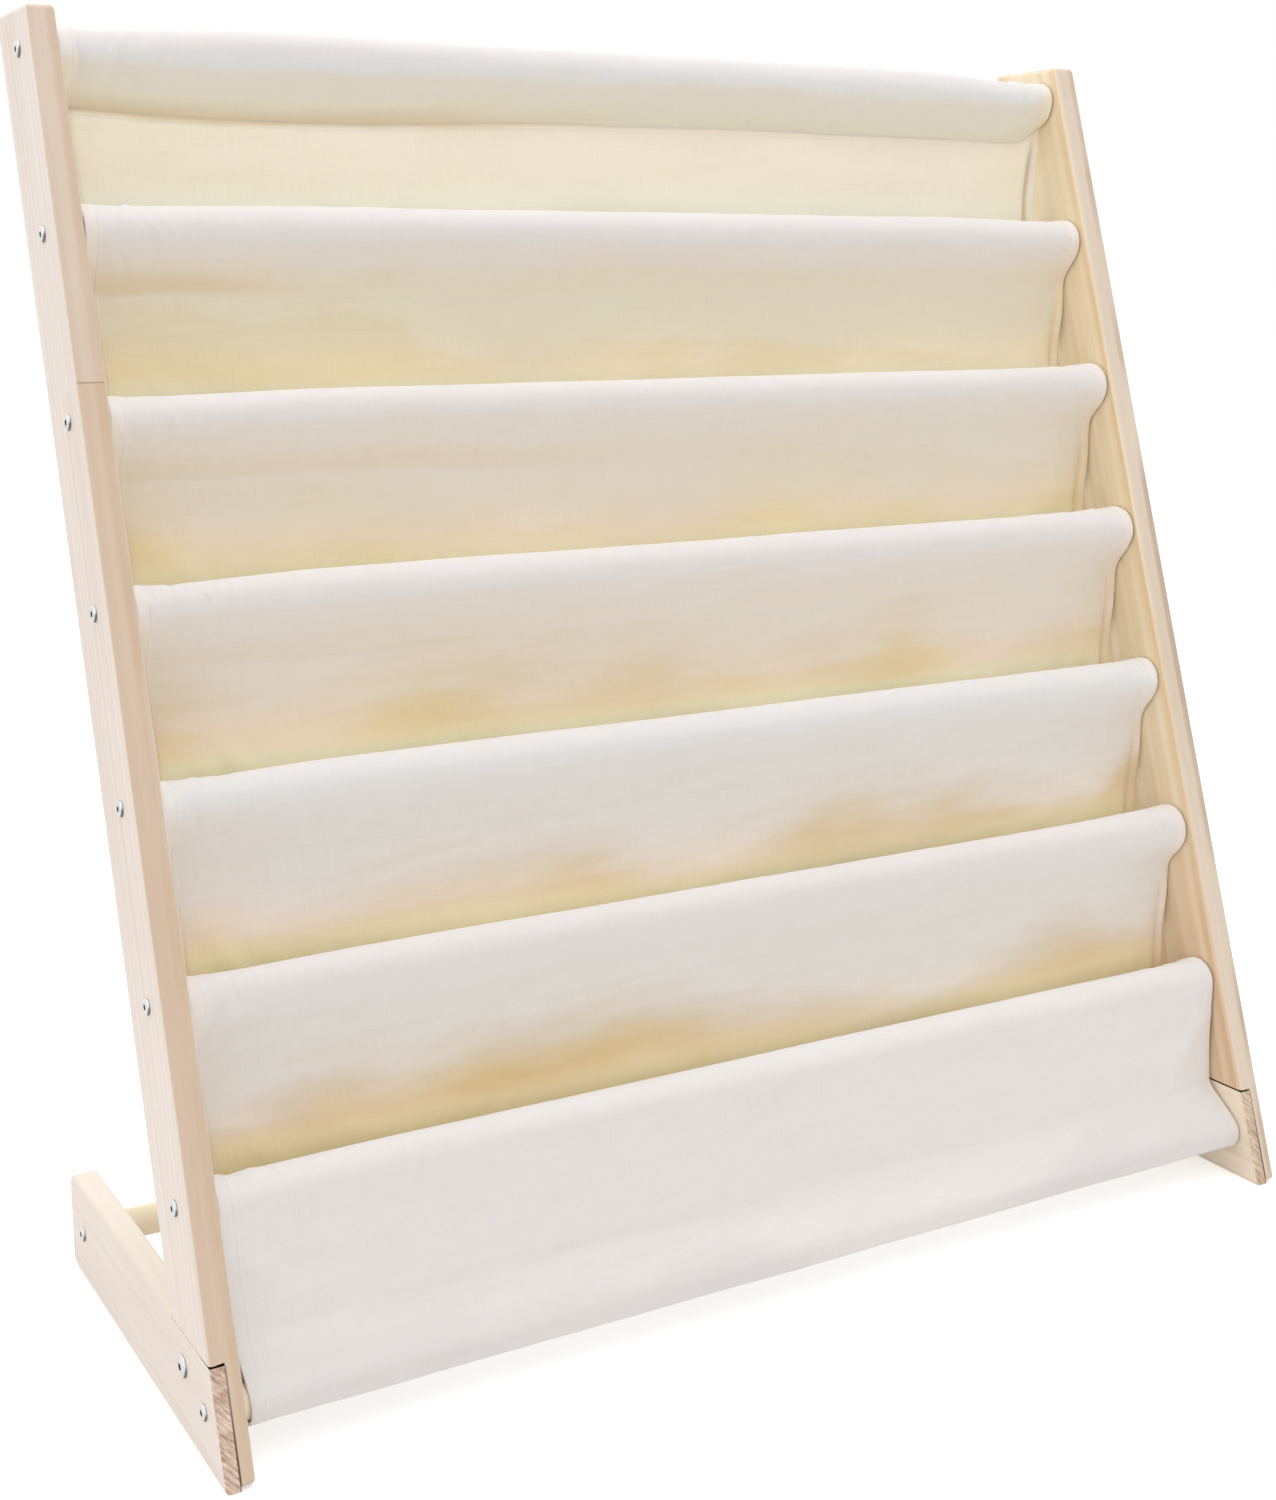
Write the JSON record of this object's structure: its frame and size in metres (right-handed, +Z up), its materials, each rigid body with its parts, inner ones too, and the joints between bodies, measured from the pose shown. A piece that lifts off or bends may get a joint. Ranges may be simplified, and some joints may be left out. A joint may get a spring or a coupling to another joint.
{
  "type": "sling bookshelf",
  "caption": "Leaning children's bookshelf: half-lapped pine side frames joined by turned rods that carry a cotton sling sewn into book pockets.",
  "frame": {"origin": "on the floor, under the middle of the shelf's bounding box", "axes": "+X to the right-hand side seen from the front, +Y to the rear, +Z up"},
  "size_m": [0.8062, 0.3242, 0.8],
  "materials": {
    "pine": "pale sanded pine, clear matt lacquer",
    "dowel_wood": "turned pale hardwood, bare",
    "canvas": "off-white cotton canvas, plain weave",
    "steel": "bright zinc-plated steel"
  },
  "bodies": {
    "root": {"left_post": "pine", "left_foot": "pine", "right_post": "pine", "right_foot": "pine", "sling_rod_1": "dowel_wood", "sling_rod_2": "dowel_wood", "sling_rod_3": "dowel_wood", "sling_rod_4": "dowel_wood", "sling_rod_5": "dowel_wood", "sling_rod_6": "dowel_wood", "sling_rod_7": "dowel_wood", "front_rod": "dowel_wood", "rear_rod": "dowel_wood", "left_screw_1": "steel", "left_screw_2": "steel", "left_screw_3": "steel", "left_screw_4": "steel", "left_screw_5": "steel", "left_screw_6": "steel", "left_screw_7": "steel", "left_front_screw": "steel", "left_rear_screw": "steel", "left_lap_bolt": "steel", "left_sleeve_nut": "steel", "right_screw_1": "steel", "right_screw_2": "steel", "right_screw_3": "steel", "right_screw_4": "steel", "right_screw_5": "steel", "right_screw_6": "steel", "right_screw_7": "steel", "right_front_screw": "steel", "right_rear_screw": "steel", "right_lap_bolt": "steel", "right_sleeve_nut": "steel", "sling_pocket_1": "canvas", "sling_pocket_2": "canvas", "sling_pocket_3": "canvas", "sling_pocket_4": "canvas", "sling_pocket_5": "canvas", "sling_pocket_6": "canvas", "sling_front_panel": "canvas"}
  },
  "joints": []
}
